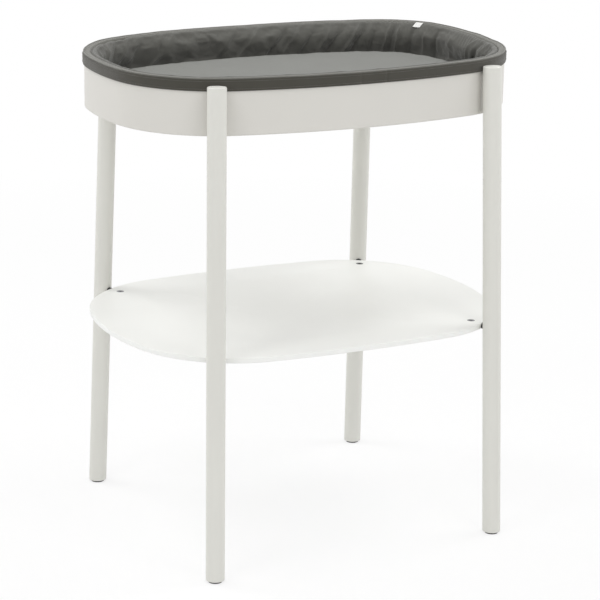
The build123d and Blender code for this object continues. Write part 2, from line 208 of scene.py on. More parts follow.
# The soft rim stands a little higher at the back: (share of the outline, lift in metres)
RIM_LIFTS = [
    (0.000, 0.0025),
    (0.018, 0.0024),
    (0.036, 0.0034),
    (0.052, 0.0043),
    (0.066, 0.0056),
    (0.091, 0.0056),
    (0.113, 0.0049),
    (0.136, 0.0035),
    (0.148, 0.0032),
    (0.165, 0.0036),
    (0.200, 0.0033),
    (0.240, 0.0021),
    (0.264, 0.0021),
    (0.300, 0.0025),
    (0.325, 0.0030),
    (0.350, 0.0021),
    (0.370, 0.0013),
    (0.395, 0.0018),
    (0.420, 0.0008),
    (0.450, 0.0000),
    (0.940, 0.0000),
    (0.976, 0.0004),
    (1.000, 0.0025),
]
# Where the strip has an upright seam, which stands in a little
STRIP_SEAMS = [0.749, 0.772]
SEAM_SWAY = 0.0007
SEAM_WIDTH = 0.0011
# Where the sewn groove is gathered and where it gapes: (share of the outline, width as a share)
GATHERS = [(0.098, 0.030), (0.990, 0.022)]
GAPS = [(0.385, 0.006), (0.374, 0.004), (0.402, 0.008)]
GATHER_PITCH = 0.010
GROOVE_DEPTH = 0.0026
GATHER_DEPTH = 0.0010
GATHER_SPLIT = 0.0008
GAP_DEPTH = 0.0030
GAP_SPLIT = 0.0022


def rim_drift(share):
    """How far the rim strays inwards and upwards at a share of the outline."""
    sway = waves_at(share, SWAY_WAVES)
    lift = waves_at(share, LIFT_WAVES)
    lift += float(np.interp(share % 1.0, *zip(*RIM_LIFTS)))
    for seam in STRIP_SEAMS:
        sway += SEAM_SWAY * bump_at(share, seam, SEAM_WIDTH)
    return sway, lift


def seam_groove(share):
    """Depth and extra width of the sewn groove, which gapes here and there."""
    gather = sum(bump_at(share, centre, width) for centre, width in GATHERS)
    gap = min(1.0, sum(bump_at(share, centre, width) for centre, width in GAPS))
    wave = 1 + math.sin(2 * math.pi * share * PERIMETER / GATHER_PITCH)
    depth = GROOVE_DEPTH + GATHER_DEPTH * gather * wave + GAP_DEPTH * gap
    split = GATHER_SPLIT * gather * wave + GAP_SPLIT * gap
    return depth, split


def rim_section(share):
    """Section of the rim at a share of the outline, as (inset, height) points."""
    sway, lift = rim_drift(share)
    depth, _ = seam_groove(share)
    outer = RIM_OUTER + sway
    top = RIM_TOP + lift
    return [
        (SLOT_OUTER, BAND_TOP + 0.0004),
        (outer + 0.0013, BAND_TOP - 0.0002),
        (outer + 0.0004, BAND_TOP + 0.0006),
        (outer, BAND_TOP + 0.0022),
        (outer - 0.0003, BAND_TOP + 0.0070),
        (outer - 0.0004, BAND_TOP + 0.0120),
        (outer - 0.0002, BAND_TOP + 0.0170),
        (outer + 0.0003, top - 0.0024),
        (outer + 0.0011, top - 0.0008),
        (outer + 0.0030, top + 0.0002),
        (outer + 0.0060, top + 0.0009),
        (outer + 0.0095, top + 0.0011),
        (outer + 0.0126, top + 0.0006),
        (outer + 0.0144, top - 0.0006),
        (outer + 0.0152, top - depth),
        (outer + 0.0186, top - depth),
        (outer + 0.0204, top - depth - 0.0010),
        (RIM_INNER, top - 0.0100),
        (RIM_INNER, top - 0.0170),
        (RIM_INNER - 0.0004, RIM_INNER_BOTTOM),
        (SLOT_INNER + 0.0006, RIM_INNER_BOTTOM),
        (SLOT_INNER, RIM_TOP - 0.0160),
        (SLOT_INNER, HOOP_TOP + 0.0002),
        (SLOT_INNER - 0.0010, HOOP_TOP + 0.0004),
        (SLOT_OUTER + 0.0010, HOOP_TOP + 0.0004),
        (SLOT_OUTER, HOOP_TOP + 0.0002),
        (SLOT_OUTER, BAND_TOP + 0.0100),
    ]


rim_shares = even_shares(RIM_STEPS)
rim = ring_mesh("rim_strip", rim_shares, [rim_section(s) for s in rim_shares], closed=True)
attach(rim, "liner")
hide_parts("liner_rim")

# Folded edge along the outside of the rim's top
EDGE_STEPS = 1280
EDGE_SIDES = 10
EDGE_RADIUS = 0.0012
EDGE_INSET = 0.0021
EDGE_RISE = 0.0006
EDGE_WAVES = [(0.0002, 90, 6.1)]


def edge_section(share):
    """Section of the folded edge: a small round roll."""
    sway, lift = rim_drift(share)
    inset = RIM_OUTER + EDGE_INSET + sway
    height = RIM_TOP + EDGE_RISE + lift + waves_at(share, EDGE_WAVES)
    turns = [2 * math.pi * k / EDGE_SIDES for k in range(EDGE_SIDES)]
    return [(inset - EDGE_RADIUS * math.cos(t), height + EDGE_RADIUS * math.sin(t)) for t in turns]


edge_shares = even_shares(EDGE_STEPS)
edge = ring_mesh("rim_edge", edge_shares, [edge_section(s) for s in edge_shares], closed=True)
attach(edge, "liner")
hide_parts("liner_piping")

# Stitches along the strip's hem and under its folded edge
STITCH_PITCH = 0.0036
STITCH_LENGTH = 0.0026
STITCH_RADIUS = 0.00026
STITCH_SIDES = 5
STITCH_PROUD = 0.0003
# Each row is (height, share of the rim's lift that it follows)
STITCH_ROWS = [(BAND_TOP + 0.0040, 0.0), (RIM_TOP - 0.0042, 1.0)]
# Rings of one thread: (place as a share of its length, size and rise as shares of its radius)
STITCH_STEPS = [(-0.5, 0.30, -0.4), (-0.3, 0.95, 0.3), (0.0, 1.0, 0.5), (0.3, 0.95, 0.3), (0.5, 0.30, -0.4)]


def stitches():
    """Rows of short threads that lie on the strip's outer face."""
    count = round(PERIMETER / STITCH_PITCH)
    shares = even_shares(count)
    points, normals = outline(shares)
    verts, faces = [], []
    for height, follow in STITCH_ROWS:
        for share, point, normal in zip(shares, points, normals):
            sway, lift = rim_drift(share)
            out = Vector((*normal, 0))
            along = Vector((-out.y, out.x, 0))
            seat = Vector((*point, height + follow * lift)) - out * (RIM_OUTER - STITCH_PROUD + sway)
            first = len(verts)
            for shift, size, rise in STITCH_STEPS:
                middle = seat + along * (shift * STITCH_LENGTH) + out * (rise * STITCH_RADIUS)
                for side in range(STITCH_SIDES):
                    turn = 2 * math.pi * side / STITCH_SIDES
                    reach = out * math.cos(turn) + Vector((0, 0, math.sin(turn)))
                    verts.append(middle + reach * (size * STITCH_RADIUS))
            faces += ring_faces(STITCH_SIDES, len(STITCH_STEPS), first)
            last = first + (len(STITCH_STEPS) - 1) * STITCH_SIDES
            faces.append(tuple(range(first + STITCH_SIDES - 1, first - 1, -1)))
            faces.append(tuple(range(last, last + STITCH_SIDES)))
    made = make_object("strip_stitches", verts, faces)
    made.data.shade_smooth()
    return made


thread_rows = stitches()
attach(thread_rows, "liner")

# Gathered wall: one cloth from the rim's sewn groove, over a padded roll and down to the floor.
# Its path is (inset, height below the rim's top), and the lower end stays at the floor
WALL_STEPS = 960
WALL_ROWS = 36
WALL_PATH = [
    (0.0300, 0.0759),
    (0.0264, 0.0690),
    (0.0240, 0.0600),
    (0.0242, 0.0520),
    (0.0278, 0.0440),
    (0.0312, 0.0360),
    (0.0334, 0.0280),
    (0.0336, 0.0205),
    (0.0310, 0.0140),
    (0.0274, 0.0085),
    (0.0238, 0.0038),
    (0.0206, 0.0004),
    (0.0180, -0.0012),
    (0.0158, -0.0010),
    (0.0142, 0.0004),
    (0.0134, 0.0024),
]
# Slanted folds, placed where the photograph shows them and loosely elsewhere.
# Each fold is (share at the bottom, share at the top, depth, width), with widths as lengths in metres
SEEN_FOLDS = [
    (0.432, 0.405, 0.0045, 0.010),
    (0.418, 0.388, -0.0060, 0.009),
    (0.402, 0.372, 0.0045, 0.008),
    (0.382, 0.352, -0.0040, 0.010),
    (0.352, 0.322, 0.0030, 0.014),
    (0.318, 0.294, -0.0030, 0.012),
    (0.280, 0.256, -0.0042, 0.012),
    (0.262, 0.236, 0.0034, 0.010),
    (0.232, 0.206, -0.0055, 0.008),
    (0.218, 0.194, 0.0034, 0.008),
    (0.198, 0.178, -0.0050, 0.009),
    (0.182, 0.164, 0.0034, 0.006),
    (0.172, 0.153, -0.0068, 0.007),
    (0.159, 0.136, 0.0062, 0.005),
    (0.150, 0.129, -0.0062, 0.006),
    (0.126, 0.118, -0.0050, 0.008),
    (0.114, 0.103, 0.0052, 0.004),
    (0.107, 0.098, -0.0046, 0.005),
    (0.100, 0.092, 0.0046, 0.004),
    (0.086, 0.076, -0.0056, 0.009),
    (0.070, 0.060, 0.0030, 0.009),
    (0.056, 0.046, -0.0045, 0.008),
    (0.032, 0.022, 0.0028, 0.012),
    (0.008, 0.986, 0.0066, 0.006),
    (0.999, 0.974, -0.0072, 0.007),
    (0.990, 0.962, 0.0050, 0.008),
    (0.974, 0.950, -0.0045, 0.009),
]
LOOSE_FOLDS = 22
LOOSE_FIRST = 0.445
LOOSE_LAST = 0.945
LOOSE_SEED = 11
LOOSE_STRAY = 0.3
LOOSE_LEANS = (0.010, 0.028)
LOOSE_DEPTHS = (0.0030, 0.0062)
LOOSE_WIDTHS = (0.005, 0.011)
# A fold is steeper on one side, fades towards the wall's ends, and leans over this share of the wall's rise
FOLD_LEAN_RISE = 0.8
FOLD_STEEP = 0.75
FOLD_GENTLE = 1.25
FOLD_POWER = 1.6
FOLD_END = 5
FADE_RISES = [0.0, 0.22, 0.68, 0.86, 1.0]
FADE_SHARES = [0.0, 1.0, 1.0, 0.3, 0.0]
# How far the cloth may be pushed outwards before it meets what is behind it.
# A push more than HOLD_FREE eases clear of that limit stays as it is
HOLD_RISES = [0.0, 0.45, 0.58, 0.86, 1.0]
HOLD_LIMITS = [-0.0070, -0.0075, -0.0070, -0.0012, -0.0008]
HOLD_EASE = 0.0008
HOLD_FREE = 30
# Fine creases: (size, lean, number round the outline, seed, change of the seed over the wall's rise)
CREASES = [(0.0012, 0.02, 44, 7.7, 0.8), (0.0006, 0.03, 150, 9.1, 1.5)]
# The wall follows the rim's drift over the first rises, and the sewn groove over the second
RIM_RISES = [0.2, 0.8]
SEAM_RISES = [0.86, 1.0]
SPLIT_DROP = 0.5


def loose_folds():
    """Folds for the front half of the wall, which the photograph doesn't show."""
    dice = random.Random(LOOSE_SEED)
    folds = []
    for step in range(LOOSE_FOLDS):
        place = (step + dice.uniform(-LOOSE_STRAY, LOOSE_STRAY)) / LOOSE_FOLDS
        bottom = LOOSE_FIRST + (LOOSE_LAST - LOOSE_FIRST) * place
        lean = dice.uniform(*LOOSE_LEANS)
        depth = (1 if step % 2 else -1) * dice.uniform(*LOOSE_DEPTHS)
        folds.append((bottom + lean / 2, bottom - lean / 2, depth, dice.uniform(*LOOSE_WIDTHS)))
    return folds


def fold_relief(share, rise, folds):
    """How far the folds push the wall off its path at a share and a rise from 0 to 1."""
    push = 0.0
    fade = float(np.interp(rise, FADE_RISES, FADE_SHARES))
    for bottom, top, depth, width in folds:
        lean = away_from(top, bottom) / FOLD_LEAN_RISE
        away = away_from(share, bottom + lean * rise) * PERIMETER
        if abs(away) < FOLD_END * width:
            reach = FOLD_STEEP * width if away > 0 else FOLD_GENTLE * width
            push += depth * fade * math.exp(-(abs(away / reach) ** FOLD_POWER))
    return push


def held_push(push, rise):
    """Push that eases off where the cloth would touch the hoop or the rim behind it."""
    low = float(np.interp(rise, HOLD_RISES, HOLD_LIMITS))
    over = (push - low) / HOLD_EASE
    return push if over > HOLD_FREE else low + HOLD_EASE * math.log1p(math.exp(over))


def wall_path():
    """The wall's path in even steps, with its inward normals."""
    points = np.array(WALL_PATH)
    length = np.concatenate([[0], np.cumsum(np.linalg.norm(np.diff(points, axis=0), axis=1))])
    even = np.linspace(0, length[-1], WALL_ROWS)
    path = np.column_stack([np.interp(even, length, points[:, axis]) for axis in (0, 1)])
    for _ in range(2):
        path[1:-1] = (path[:-2] + 2 * path[1:-1] + path[2:]) / 4
    slope = np.gradient(path, axis=0)
    slope /= np.linalg.norm(slope, axis=1, keepdims=True)
    return path, np.column_stack([-slope[:, 1], slope[:, 0]])


def wall_sections():
    """The wall's sections, with the main folds and fine creases."""
    folds = SEEN_FOLDS + loose_folds()
    path, inward = wall_path()
    sections = []
    for share in even_shares(WALL_STEPS):
        sway, lift = rim_drift(share)
        depth, split = seam_groove(share)
        section = []
        for row in range(WALL_ROWS):
            rise = row / (WALL_ROWS - 1)
            loose = math.sin(math.pi * rise)
            push = fold_relief(share, rise, folds)
            for size, lean, repeats, seed, change in CREASES:
                push += size * loose * round_noise(share + lean * rise, repeats, seed + change * rise)
            push = held_push(push, rise)
            near_top = float(np.interp(rise, RIM_RISES, [0.0, 1.0]))
            near_seam = float(np.interp(rise, SEAM_RISES, [0.0, 1.0]))
            inset = path[row, 0] + push * inward[row, 0] + sway * near_top + split * near_seam
            height = RIM_TOP - path[row, 1] - push * inward[row, 1]
            height += lift * near_top + (GROOVE_DEPTH - depth) * near_seam - SPLIT_DROP * split * near_top
            section.append((inset, height))
        sections.append(section)
    return sections


wall_shares = even_shares(WALL_STEPS)
wall = ring_mesh("gathered_wall", wall_shares, wall_sections(), closed=False)


def apply_modifiers(obj):
    """Bake an object's modifiers into its mesh."""
    depsgraph = bpy.context.evaluated_depsgraph_get()
    mesh = bpy.data.meshes.new_from_object(obj.evaluated_get(depsgraph))
    obj.modifiers.clear()
    obj.data = mesh


def run_cloth(obj, frames):
    """Step an object's cloth simulation, bake it, and give the points before and after."""
    start = np.array([v.co for v in obj.data.vertices])
    scene = bpy.context.scene
    for number in range(1, frames + 1):
        scene.frame_set(number)
        bpy.context.view_layer.update()
    apply_modifiers(obj)
    scene.frame_set(1)
    return start, np.array([v.co for v in obj.data.vertices])


def capped(start, moved, cap):
    """Points held back where they moved further than a cap."""
    step = moved - start
    length = np.linalg.norm(step, axis=1, keepdims=True)
    return start + step * np.minimum(1.0, cap / np.maximum(length, 1e-9))


def set_points(obj, points):
    """Move an object's points."""
    obj.data.vertices.foreach_set("co", points.astype(np.float32).ravel())
    obj.data.update()


# The wall's cloth has spare length, so a short simulation buckles it into finer creases
CRUMPLE_FRAMES = 14
CRUMPLE_SPARE = 0.045
CRUMPLE_CAP = 0.0048
SEWN_ROWS = [0, 1] + list(range(WALL_ROWS - 5, WALL_ROWS))
# Room that the crumpled wall leaves to its neighbours, and how far past their ends it still does
RIM_ROOM = 0.0008
HOOP_ROOM = 0.0016
MAT_ROOM = 0.0012
BELOW_RIM = 0.003
UNDER_RIM_TOP = 0.004
ABOVE_MAT = 0.002
NO_LIMIT = 1.0


def eased_step(start, moved):
    """Points whose moves are averaged with their neighbours' along the wall."""
    step = (moved - start).reshape(WALL_STEPS, WALL_ROWS, 3)
    for _ in range(2):
        step = (np.roll(step, 1, axis=0) + 2 * step + np.roll(step, -1, axis=0)) / 4
    return start + step.reshape(-1, 3)


def crumple(obj):
    """Let the wall's spare cloth buckle between its sewn top and bottom."""
    pins = obj.vertex_groups.new(name="sewn")
    sewn = [i * WALL_ROWS + k for i in range(WALL_STEPS) for k in SEWN_ROWS]
    pins.add(sewn, 1.0, "REPLACE")
    cloth = obj.modifiers.new("crumple", "CLOTH")
    settings = cloth.settings
    settings.quality = 4
    settings.mass = 0.15
    settings.tension_stiffness = 15
    settings.compression_stiffness = 15
    settings.shear_stiffness = 5
    settings.bending_stiffness = 0.12
    settings.vertex_group_mass = "sewn"
    settings.shrink_min = -CRUMPLE_SPARE
    settings.effector_weights.gravity = 0
    cloth.point_cache.frame_end = CRUMPLE_FRAMES
    start, moved = run_cloth(obj, CRUMPLE_FRAMES)
    held = eased_step(start, capped(start, moved, CRUMPLE_CAP))
    points, normals = outline(wall_shares)
    points = np.repeat(points, WALL_ROWS, axis=0)
    normals = np.repeat(normals, WALL_ROWS, axis=0)
    inset = -np.sum((held[:, :2] - points) * normals, axis=1)
    height = held[:, 2]
    low = np.where(height > RIM_INNER_BOTTOM - BELOW_RIM, RIM_INNER + RIM_ROOM, HOOP_INNER + HOOP_ROOM)
    low[height > RIM_TOP - UNDER_RIM_TOP] = -NO_LIMIT
    high = np.where(height < MAT_TOP + ABOVE_MAT, MAT_INSET - MAT_ROOM, NO_LIMIT)
    held[:, :2] -= normals * (np.clip(inset, low, high) - inset)[:, None]
    set_points(obj, held)
    obj.data.shade_smooth()


crumple(wall)
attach(wall, "liner")
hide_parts("liner_wall")


# Floor of the liner, under the mat
SHEET_SIDES = 320
SHEET_RINGS = 26
SHEET_HEIGHT = PANEL_TOP + 0.0011
RIPPLE_SIZE = 0.0006
RIPPLE_SCALE = 14
RIPPLE_SEED = 3.3


def oval_sheet(name, inset):
    """Sheet inside the outline, as a grid of rings that shrink to a middle point, with slight ripples."""
    points, normals = outline(even_shares(SHEET_SIDES))
    edge_points = points - normals * inset
    verts = []
    for ring in range(SHEET_RINGS):
        scale = 1 - ring / SHEET_RINGS
        for x, y in edge_points:
            x, y = x * scale, y * scale
            ripple = RIPPLE_SIZE * noise.noise(Vector((x * RIPPLE_SCALE, y * RIPPLE_SCALE, RIPPLE_SEED)))
            verts.append((x, y, SHEET_HEIGHT + ripple))
    middle = len(verts)
    verts.append((0, 0, SHEET_HEIGHT))
    faces = ring_faces(SHEET_SIDES, SHEET_RINGS)
    last = (SHEET_RINGS - 1) * SHEET_SIDES
    faces += [(last + i, last + (i + 1) % SHEET_SIDES, middle) for i in range(SHEET_SIDES)]
    made = make_object(name, verts, faces)
    made.data.shade_smooth()
    return made


liner_floor = oval_sheet("liner_base", FLOOR_INSET)
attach(liner_floor, "liner")
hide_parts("liner_floor")

# Mat: a padded slab, blown up by a short cloth simulation
MAT_SIDES = 300
MAT_VOXEL = 0.005
MAT_PRESSURE = 4.0
MAT_MOVE_CAP = 0.004
MAT_FRAMES = 20
MAT_BOTTOM = FLOOR_TOP + 0.0006
# The slab's levels: (inset beyond the mat's edge, height)
MAT_LEVELS = [
    (0.0070, MAT_BOTTOM),
    (0.0030, FLOOR_TOP + 0.0020),
    (0.0008, FLOOR_TOP + 0.0060),
    (0.0008, MAT_TOP - 0.0130),
    (0.0030, MAT_TOP - 0.0082),
    (0.0080, MAT_TOP - 0.0054),
    (0.0300, MAT_TOP - 0.0036),
    (0.0900, MAT_TOP - 0.0022),
]


def closed_slab(name, levels):
    """Closed oval slab through levels, with a flat bottom and top."""
    points, normals = outline(even_shares(MAT_SIDES))
    verts = []
    for inset, height in levels:
        for (x, y), (nx, ny) in zip(points, normals):
            reach = MAT_INSET + inset
            verts.append((x - nx * reach, y - ny * reach, height))
    faces = ring_faces(MAT_SIDES, len(levels))
    faces.append(tuple(reversed(range(MAT_SIDES))))
    last = (len(levels) - 1) * MAT_SIDES
    faces.append(tuple(range(last, last + MAT_SIDES)))
    return make_object(name, verts, faces)


def puff(obj):
    """Swell a closed mesh with a cloth simulation, and hold back points that move too far."""
    cloth = obj.modifiers.new("swell", "CLOTH")
    settings = cloth.settings
    settings.use_pressure = True
    settings.uniform_pressure_force = MAT_PRESSURE
    settings.quality = 5
    settings.mass = 0.3
    settings.tension_stiffness = 40
    settings.compression_stiffness = 40
    settings.shear_stiffness = 20
    settings.bending_stiffness = 2.0
    settings.effector_weights.gravity = 0
    cloth.point_cache.frame_end = MAT_FRAMES
    start, moved = run_cloth(obj, MAT_FRAMES)
    held = capped(start, moved, MAT_MOVE_CAP)
    held[:, 2] = np.maximum(held[:, 2], MAT_BOTTOM)
    set_points(obj, held)


mat = closed_slab("changing_mat", MAT_LEVELS)
remesh = mat.modifiers.new("even", "REMESH")
remesh.mode = "VOXEL"
remesh.voxel_size = MAT_VOXEL
apply_modifiers(mat)
puff(mat)
subdivision = mat.modifiers.new("soft", "SUBSURF")
subdivision.levels = subdivision.render_levels = 1
apply_modifiers(mat)
mat.data.shade_smooth()
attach(mat, "mat")
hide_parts("mat_cover", "mat_foam")

# Blank fabric tab: a loop of ribbon that lies on the roll at the rear right and hangs inwards.
# Its path is (inset, height above the rim's top)
TAB_SHARE = 0.0722
TAB_WIDTH = 0.016
TAB_SLANT = -0.45
TAB_COLUMNS = 9
TAB_SEAT = 0.0006
TAB_THICKNESS = 0.0004
# The tab's sides curl off the roll, fully from this step of its path on, and rise by a share of that
TAB_CURL = 0.0008
TAB_CURL_STEP = 7
TAB_CURL_RISE = 0.4
TAB_PATH = [
    (0.0150, 0.0000),
    (0.0164, 0.0010),
    (0.0182, 0.0010),
    (0.0202, -0.0003),
    (0.0222, -0.0022),
    (0.0242, -0.0042),
    (0.0258, -0.0058),
    (0.0268, -0.0068),
    (0.0272, -0.0073),
    (0.0268, -0.0075),
    (0.0256, -0.0066),
    (0.0242, -0.0052),
    (0.0230, -0.0040),
]


def folded_tab():
    """A loop of ribbon: a strip folded back on itself, with slightly curled sides."""
    points, normals = outline([TAB_SHARE])
    away = Vector((*normals[0], 0))
    sideways = Vector((-away.y, away.x, 0))
    seat = Vector((*points[0], RIM_TOP + rim_drift(TAB_SHARE)[1] + TAB_SEAT))
    verts, faces = [], []
    for step, (inset, height) in enumerate(TAB_PATH):
        for column in range(TAB_COLUMNS):
            side = column / (TAB_COLUMNS - 1) - 0.5
            curl = TAB_CURL * (2 * side) ** 2 * min(1.0, step / TAB_CURL_STEP)
            shift = side * TAB_WIDTH - TAB_SLANT * (inset - TAB_PATH[0][0])
            place = seat - away * (inset - curl) + sideways * shift
            verts.append((place.x, place.y, place.z + height + TAB_CURL_RISE * curl))
    for step in range(len(TAB_PATH) - 1):
        for column in range(TAB_COLUMNS - 1):
            a = step * TAB_COLUMNS + column
            faces.append((a, a + 1, a + TAB_COLUMNS + 1, a + TAB_COLUMNS))
    made = make_object("blank_tab", verts, faces)
    made.data.shade_smooth()
    thick = made.modifiers.new("thickness", "SOLIDIFY")
    thick.thickness = TAB_THICKNESS
    soft = made.modifiers.new("soft", "SUBSURF")
    soft.levels = soft.render_levels = 2
    apply_modifiers(made)
    made.data.shade_smooth()
    return made


tab = folded_tab()
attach(tab, "liner")
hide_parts("label_tab")


# Materials
def add_node(tree, kind, inputs=None, **settings):
    """Add a shader node; an input may be a socket to link or a plain value."""
    made = tree.nodes.new(kind)
    for key, value in settings.items():
        setattr(made, key, value)
    for key, value in (inputs or {}).items():
        if isinstance(value, bpy.types.NodeSocket):
            tree.links.new(value, made.inputs[key])
        else:
            made.inputs[key].default_value = value
    return made


def maths(tree, operation, *values):
    """Result of a maths node on sockets and numbers."""
    return add_node(tree, "ShaderNodeMath", dict(enumerate(values)), operation=operation).outputs["Value"]


def noise_at(tree, place, scale, detail, roughness=0.5):
    """Noise texture's factor at a place."""
    inputs = {"Vector": place, "Scale": scale, "Detail": detail, "Roughness": roughness}
    return add_node(tree, "ShaderNodeTexNoise", inputs).outputs["Fac"]


def bumped(tree, height, strength, distance, below=None):
    """Normal with a height in relief, over another normal."""
    inputs = {"Height": height, "Strength": strength, "Distance": distance}
    if below is not None:
        inputs["Normal"] = below
    return add_node(tree, "ShaderNodeBump", inputs).outputs["Normal"]


def spread(tree, factor, low, high):
    """Factor from 0 to 1 spread between two numbers."""
    inputs = {"Value": factor, "To Min": low, "To Max": high}
    return add_node(tree, "ShaderNodeMapRange", inputs).outputs["Result"]


def colour_ramp(tree, factor, low, high):
    """Blend from a low colour to a high one by a factor."""
    ramp = add_node(tree, "ShaderNodeValToRGB", {"Fac": factor})
    ramp.color_ramp.elements[0].color = (*low, 1)
    ramp.color_ramp.elements[1].color = (*high, 1)
    return ramp.outputs["Color"]


def shade(colour, factor):
    """A colour made darker or lighter."""
    return tuple(c * factor for c in colour)


def new_material(name):
    """Material with an empty tree, its shader and its output."""
    material = bpy.data.materials.new(name)
    material.use_nodes = True
    tree = material.node_tree
    tree.nodes.clear()
    shader = add_node(tree, "ShaderNodeBsdfPrincipled")
    add_node(tree, "ShaderNodeOutputMaterial", {"Surface": shader.outputs["BSDF"]})
    return material, tree, shader


def join(tree, shader, **sockets):
    """Link sockets to the shader's inputs, named with _ for a space."""
    for key, socket in sockets.items():
        tree.links.new(socket, shader.inputs[key.replace("_", " ")])


# Grain of the wood under the lacquer, as noise scales, and the radius of its eased edges
GRAIN_ACROSS = 220.0
GRAIN_ALONG = 9.0
EASED_RADIUS = 0.0012


def lacquer(name, colour, roughness, grain_axis):
    """Satin lacquer over wood: faint grain in relief, slight mottling, eased edges."""
    material, tree, shader = new_material(name)
    place = add_node(tree, "ShaderNodeTexCoord").outputs["Object"]
    stretch = [GRAIN_ACROSS] * 3
    stretch[grain_axis] = GRAIN_ALONG
    along = add_node(tree, "ShaderNodeMapping", {"Vector": place, "Scale": stretch}).outputs["Vector"]
    grain = noise_at(tree, along, scale=1.0, detail=4.0, roughness=0.6)
    mottle = noise_at(tree, place, scale=7.0, detail=2.0)
    tint = colour_ramp(tree, mottle, shade(colour, 0.975), shade(colour, 1.02))
    gloss = spread(tree, grain, roughness - 0.05, roughness + 0.07)
    ease = add_node(tree, "ShaderNodeBevel", {"Radius": EASED_RADIUS}, samples=4).outputs["Normal"]
    relief = bumped(tree, grain, strength=0.10, distance=0.0004, below=ease)
    join(tree, shader, Base_Color=tint, Roughness=gloss, Normal=relief)
    shader.inputs["Specular IOR Level"].default_value = 0.45
    return material


# Shares of the cloth's tint that come from painted shade on its weave (raised yarns lighter, the hollows
# between them darker) and from its uneven dye, and the tint's ends
YARN_SHADE_SHARE = 0.25
DYE_SHARE = 0.38
DYE_DARK = 0.80
DYE_LIGHT = 1.22


def fabric(name, colour, pitch, source, sheen):
    """Plain woven cloth: crossing yarns in relief, painted shade between the yarns, uneven dye and soft
    creases.
    """
    material, tree, shader = new_material(name)
    place = add_node(tree, "ShaderNodeTexCoord").outputs[source]
    yarns = []
    for axis in ("X", "Y"):
        inputs = {"Vector": place, "Scale": math.pi / (10 * pitch), "Distortion": 0.6, "Detail": 1.0}
        wave = add_node(tree, "ShaderNodeTexWave", inputs, bands_direction=axis)
        yarns.append(wave.outputs["Fac"])
    weave = maths(tree, "MAXIMUM", *yarns)
    slub = noise_at(tree, place, scale=900.0, detail=3.0)
    dye = noise_at(tree, place, scale=16.0, detail=3.0, roughness=0.6)
    uneven = maths(tree, "ADD", dye, slub)
    # The tint is lighter on the raised yarns: painted shade in the hollows of the weave
    yarn_painted_shade = maths(tree, "MULTIPLY", weave, YARN_SHADE_SHARE)
    level = maths(tree, "MULTIPLY_ADD", uneven, DYE_SHARE, yarn_painted_shade)
    tint = colour_ramp(tree, level, shade(colour, DYE_DARK), shade(colour, DYE_LIGHT))
    crease = noise_at(tree, place, scale=55.0, detail=4.0, roughness=0.55)
    soft = bumped(tree, crease, strength=0.18, distance=0.0020)
    threads = bumped(tree, weave, strength=0.35, distance=0.0003, below=soft)
    rough = spread(tree, slub, low=0.82, high=0.96)
    join(tree, shader, Base_Color=tint, Roughness=rough, Normal=threads)
    shader.inputs["Sheen Weight"].default_value = sheen
    shader.inputs["Sheen Roughness"].default_value = 0.5
    shader.inputs["Specular IOR Level"].default_value = 0.2
    return material


def moulded(name, colour, roughness):
    """Moulded plastic with a fine stipple."""
    material, tree, shader = new_material(name)
    place = add_node(tree, "ShaderNodeTexCoord").outputs["Object"]
    stipple = noise_at(tree, place, scale=1800.0, detail=2.0)
    cloudy = noise_at(tree, place, scale=40.0, detail=2.0)
    tint = colour_ramp(tree, cloudy, shade(colour, 0.9), shade(colour, 1.1))
    relief = bumped(tree, stipple, strength=0.2, distance=0.0002)
    join(tree, shader, Base_Color=tint, Normal=relief)
    shader.inputs["Roughness"].default_value = roughness
    return material


def plated(name, colour):
    """Zinc-plated steel with a cloudy finish."""
    material, tree, shader = new_material(name)
    place = add_node(tree, "ShaderNodeTexCoord").outputs["Object"]
    cloudy = noise_at(tree, place, scale=160.0, detail=4.0)
    tint = colour_ramp(tree, cloudy, shade(colour, 0.85), shade(colour, 1.1))
    rough = spread(tree, cloudy, low=0.28, high=0.5)
    join(tree, shader, Base_Color=tint, Roughness=rough)
    shader.inputs["Metallic"].default_value = 1.0
    return material


# Colours, as linear light
LACQUER_BAND = (0.66, 0.645, 0.605)
LACQUER_LEGS = (0.70, 0.695, 0.65)
LACQUER_SHELF = (0.88, 0.885, 0.86)
LINER_GREY = (0.060, 0.057, 0.047)
# The rim's top faces are the strip's own cloth in a lighter grey: painted light from above
RIM_TOP_LIT_GREY = (0.150, 0.148, 0.132)
WALL_GREY = (0.112, 0.111, 0.100)
# The folded edge's lighter grey is a painted highlight along the rim's top; the stitch thread shares this
# grey
EDGE_GREY = (0.170, 0.168, 0.150)
MAT_GREY = (0.176, 0.178, 0.164)
TAB_WHITE = (0.82, 0.82, 0.80)
DARK_PLASTIC = (0.022, 0.022, 0.022)
GREY_PLASTIC = (0.50, 0.49, 0.46)
ZINC = (0.30, 0.30, 0.31)

# Yarn pitch of the liner's cloth in metres, and its sheen
LINER_PITCH = 0.0007
LINER_SHEEN = 0.25
ALONG_X, ALONG_Z = 0, 2

